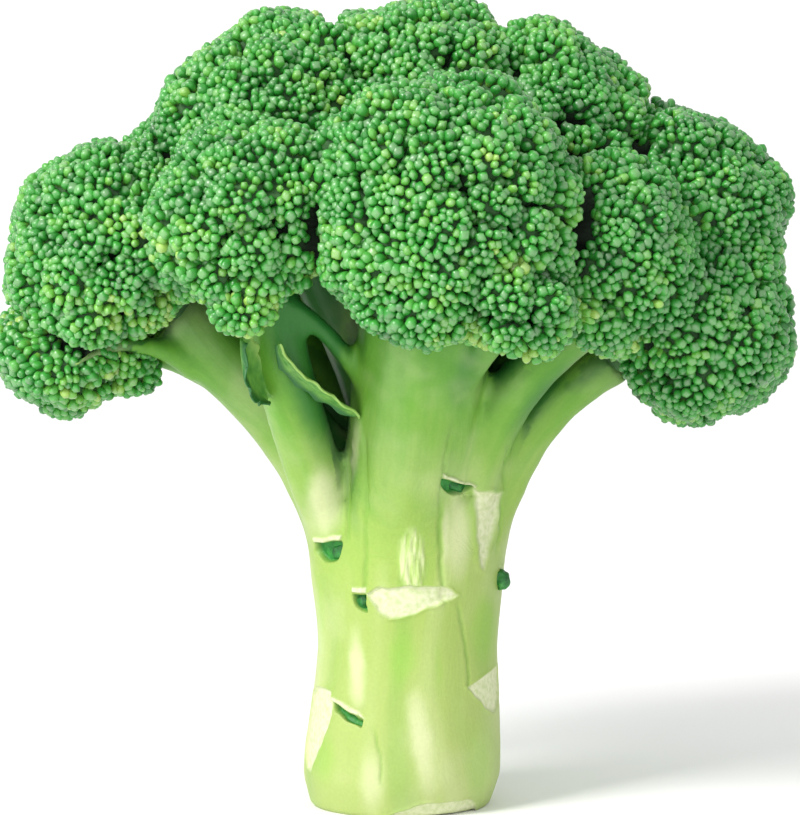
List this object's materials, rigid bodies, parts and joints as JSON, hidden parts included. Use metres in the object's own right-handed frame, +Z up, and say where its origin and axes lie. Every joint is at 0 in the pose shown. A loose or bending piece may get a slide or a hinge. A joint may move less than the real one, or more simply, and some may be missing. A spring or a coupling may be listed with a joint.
{
  "type": "broccoli head",
  "caption": "Whole raw broccoli head standing on its cut stalk, with branching stems, domed green florets and a few small leaves.",
  "frame": {"origin": "centre of the stalk's flat cut end, on the surface the head stands on", "axes": "+Z up along the stalk, +X to the head's right as seen from its front, +Y to the back; the front is -Y"},
  "size_m": [0.1727, 0.1458, 0.1775],
  "materials": {
    "stalk_skin": "satin, pale yellow green with paler leaf scars",
    "branch_skin": "satin, mid green with fine lengthwise ridges",
    "floret_buds": "matt, dense closed green flower buds",
    "small_leaf": "satin",
    "side_shoot": "satin"
  },
  "bodies": {
    "root": {"branch_back": "branch_skin", "branch_back_left": "branch_skin", "branch_back_right": "branch_skin", "branch_front": "branch_skin", "branch_front_left": "branch_skin", "branch_front_lower": "branch_skin", "branch_front_right": "branch_skin", "branch_left": "branch_skin", "branch_left_lower": "branch_skin", "branch_right": "branch_skin", "branch_right_lower": "branch_skin", "branch_spray": "branch_skin", "branch_top": "branch_skin", "branch_upper_left": "branch_skin", "branch_upper_right": "branch_skin", "floret_back": "floret_buds", "floret_back_left": "floret_buds", "floret_back_right": "floret_buds", "floret_front": "floret_buds", "floret_front_left": "floret_buds", "floret_front_lower": "floret_buds", "floret_front_right": "floret_buds", "floret_left": "floret_buds", "floret_left_lower": "floret_buds", "floret_right": "floret_buds", "floret_right_lower": "floret_buds", "floret_spray": "floret_buds", "floret_top": "floret_buds", "floret_upper_left": "floret_buds", "floret_upper_right": "floret_buds", "leaf_front": "small_leaf", "leaf_left": "small_leaf", "side_shoot_front": "side_shoot", "side_shoot_left": "side_shoot", "side_shoot_low": "side_shoot", "side_shoot_right": "side_shoot", "side_shoot_upper": "side_shoot", "stalk": "stalk_skin"}
  },
  "joints": []
}
